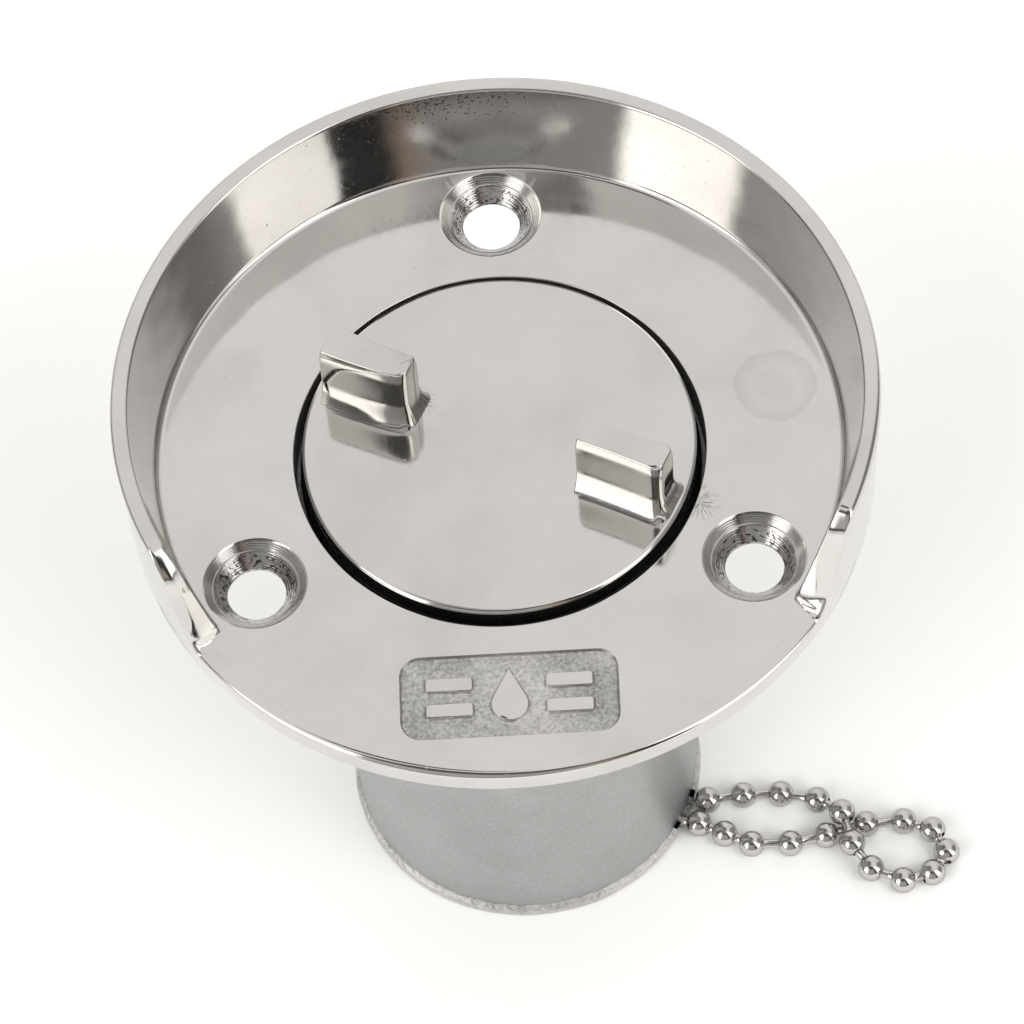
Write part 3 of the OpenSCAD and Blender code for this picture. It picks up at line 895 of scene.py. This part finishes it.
def make_neck(cast, torn):
    shell = Shell()
    cast_slot, torn_slot = 0, 1
    wobble = [random.uniform(-1, 1) for _ in range(90)]
    count = 360

    def ring(r, z, rough=0.0):
        """A ring of the tube, uneven where it is rough."""
        points = []
        for i in range(count):
            place = i / count * len(wobble)
            k = int(place)
            near = lerp(wobble[k], wobble[(k + 1) % len(wobble)], ease(place - k))
            a = math.tau * i / count
            grown = r + rough * near
            points.append((
                grown * math.cos(a), grown * math.sin(a), max(z, neck_notch(math.degrees(a)))
            ))
        return shell.ring(points)

    outer = [ring(NECK_R, z) for z in (NECK_TOP, SKIRT_FOOT, -30, -45, -58, -63.7)]
    shell.bridge_all(outer)
    shell.slot = torn_slot
    bead = [ring(*row) for row in (
        (NECK_R + 0.05, -63.95, 0.02), (NECK_R + 0.18, -64.15, 0.05),
        (NECK_R + 0.38, -64.35, 0.06), (NECK_R + 0.48, -64.6, 0.05),
        (NECK_R + 0.5, -64.95, 0.03), (NECK_R + 0.46, -65.25, 0.04),
        (NECK_R + 0.34, -65.46, 0.03), (NECK_R + 0.15, -65.57, 0.02))]
    shell.bridge(outer[-1], bead[0])
    shell.bridge_all(bead)
    shell.slot = cast_slot
    inner = [ring(*row) for row in (
        (NECK_R, FLOOR_Z), (NECK_R - 0.4, FLOOR_Z), (NECK_R - 0.5, FLOOR_Z + 0.1),
        (NECK_R - 0.5, FLOOR_Z + 3.3), (NECK_R - NECK_WALL, FLOOR_Z + 4.3),
        (NECK_R - NECK_WALL, NECK_TOP))]
    shell.bridge(bead[-1], inner[0])
    shell.bridge_all([*inner, outer[0]])
    return shell.finish("neck_tube", "deck_fill", (cast, torn), ["hose_neck"])


# ---------------------------------------------------------------- chain
ON_FLOOR = FLOOR_Z + BALL_D / 2
CAP_LAST_BALL = (0, 0, -6.4)
CAP_BELL_MOUTH = (0, 0, -8.65)
CHAIN_ROUTE = [(0, 0, -10.3 - 4.2 * k) for k in range(12)] + [
    # curves over to the foot of the neck
    (1.0, -0.4, ON_FLOOR + 3.6), (4.1, -1.5, ON_FLOOR + 0.9), (8.1, -2.8, ON_FLOOR),
    (12.2, -4.1, ON_FLOOR), (16.4, -5.5, ON_FLOOR),
    # outward along the surface
    (20.5, -6.9, ON_FLOOR), (24.6, -6.5, ON_FLOOR), (28.9, -6.6, ON_FLOOR),
    (33.0, -7.8, ON_FLOOR + 0.3), (35.7, -10.1, ON_FLOOR + 1.3),
    (36.6, -14.1, ON_FLOOR + 1.2), (38.6, -17.0, ON_FLOOR + 0.3),
    # far loop
    (42.1, -18.6, ON_FLOOR), (45.5, -17.8, ON_FLOOR), (47.3, -15.2, ON_FLOOR),
    (45.9, -12.3, ON_FLOOR), (42.7, -11.0, ON_FLOOR),
    # back under the hump and under the foot
    (38.4, -11.1, ON_FLOOR), (33.8, -12.3, ON_FLOOR), (29.6, -13.1, ON_FLOOR),
    (25.2, -12.9, ON_FLOOR), (22.2, -11.4, ON_FLOOR), (19.3, -9.9, ON_FLOOR),
    (15.1, -8.7, ON_FLOOR), (11.6, -8.9, ON_FLOOR),
    (10.2, -8.6, ON_FLOOR + 3.8),
    (10.2, -8.6, -56.4),
]


def chain_ball(shell, centre, axis):
    """A hollow pressed ball: round, with the lip of a hole at each end and a faint seam."""
    turn = Vector((0, 0, 1)).rotation_difference(axis).to_matrix()
    r, hole_r = BALL_D / 2, 0.62
    reach = math.acos(hole_r / r)
    profile = [(hole_r - 0.1, -r * math.sin(reach) + 0.22), (hole_r - 0.06, -r * math.sin(reach))]
    for k in range(17):
        lift = lerp(-reach, reach, k / 16)
        seam = 0.012 if k == 8 else 0
        profile.append(((r - seam) * math.cos(lift), r * math.sin(lift)))
    profile += [(hole_r - 0.06, r * math.sin(reach)), (hole_r - 0.1, r * math.sin(reach) - 0.22)]
    rings = [
        shell.ring([turn @ Vector(p) + centre for p in circle(radius, z, 28)])
        for radius, z in profile
    ]
    shell.bridge_all(rings)
    shell.fill(rings[:1], turn @ Vector((0, 0, -1)))
    shell.fill(rings[-1:], turn @ Vector((0, 0, 1)))


def chain_link(shell, p, q):
    """The waist of a link between two balls, with a slight flare at each end."""
    axis = (q - p).normalized()
    turn = Vector((0, 0, 1)).rotation_difference(axis).to_matrix()
    reach = (q - p).length - BALL_D + 0.5
    middle = (p + q) / 2
    rings = []
    for t, r in ((-0.5, 0.5), (-0.36, 0.47), (-0.2, 0.43), (0.2, 0.43), (0.36, 0.47), (0.5, 0.5)):
        points = circle(r * LINK_D / 0.86, t * reach, 16)
        rings.append(shell.ring([turn @ Vector(c) + middle for c in points]))
    shell.bridge_all(rings)
    shell.fill(rings[:1], -axis)
    shell.fill(rings[-1:], axis)


def smooth_path(points, steps=6):
    """The same route with points added between, so that it bends instead of turning sharply."""
    path = []
    padded = [points[0], *points, points[-1]]
    for a, b, c, d in zip(padded, padded[1:], padded[2:], padded[3:]):
        for k in range(steps):
            t = k / steps
            path.append(0.5 * (2 * b + (c - a) * t + (2 * a - 5 * b + 4 * c - d) * t * t
                               + (3 * b - a - 3 * c + d) * t ** 3))
    return [*path, points[-1]]


def make_chain(bright):
    shell = Shell()
    points = [Vector(p) for p in (CAP_LAST_BALL, *CHAIN_ROUTE)]
    for before, here, after in zip(points, points[1:], [*points[2:], None]):
        onward = (after or here) - before
        chain_ball(shell, here, onward.normalized())
    for p, q in zip(points, points[1:]):
        chain_link(shell, p, q)
    chain = shell.finish("ball_chain", None, (bright,), ["chain_balls", "chain_links"], 50)
    route = smooth_path([Vector(p) * MM for p in (CAP_BELL_MOUTH, *CHAIN_ROUTE)])
    length = sum((a - b).length for a, b in zip(route, route[1:]))
    path = [tuple(p) for p in route]
    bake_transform(chain)
    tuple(path[0])
    return chain


# ---------------------------------------------------------------- assembly
def flange_marks(tree):
    strand = scuff(tree, (20.7, -8.0), 2.4)
    return math_node(tree, "MAXIMUM", strand, water_mark(tree, (29.4, 6.0), 3.4))


def cap_marks(tree):
    return math_node(tree, "MAXIMUM", scuff(tree, (-8.2, 5.7), 2.0), scuff(tree, (20.3, -8.2), 1.6))


make_camera()
make_world()
make_lights()
make_floor()

mirror = polished_steel("polished_flange", marks=flange_marks)
mirror_cap = polished_steel("polished_cap", (0.605, 0.59, 0.57), 0.8, marks=cap_marks)
wall = polished_steel("buffed_wall", (0.6, 0.59, 0.575), 1.5, (0.04, 0.09), casting_pits,
                      soft=middle_of_back)
turned = turned_steel()
cast = cast_steel("cast_steel")
grainy = cast_steel("label_floor", (0.5, 0.494, 0.485), (0.3, 0.45), 0.0002, 2600, 0.42)
neck_cast = cast_steel("neck_steel", (0.42, 0.42, 0.418), (0.38, 0.5), 0.000022, 2600, 0.09)
torn = cast_steel("torn_edge", (0.6, 0.592, 0.58), (0.1, 0.25), 0.00032, 1700)
rubber = black_rubber()
chrome = polished_steel("chain_steel", (0.59, 0.58, 0.565), 0.25, (0.08, 0.16), edge=0.55)

chain = make_chain(chrome)
flange = make_flange(mirror, turned, cast, wall, grainy)
cap = make_cap(mirror_cap, cast)
neck = make_neck(neck_cast, torn)

looks = {"cap_o_ring": rubber, "anchor_tab": cast, "anchor_stud": cast, "cap_swivel_stud": cast}
for name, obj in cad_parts.items():
    obj.data.materials.clear()
    obj.data.materials.append(looks.get(name, chrome))

bpy.context.scene.view_settings.view_transform = "Standard"
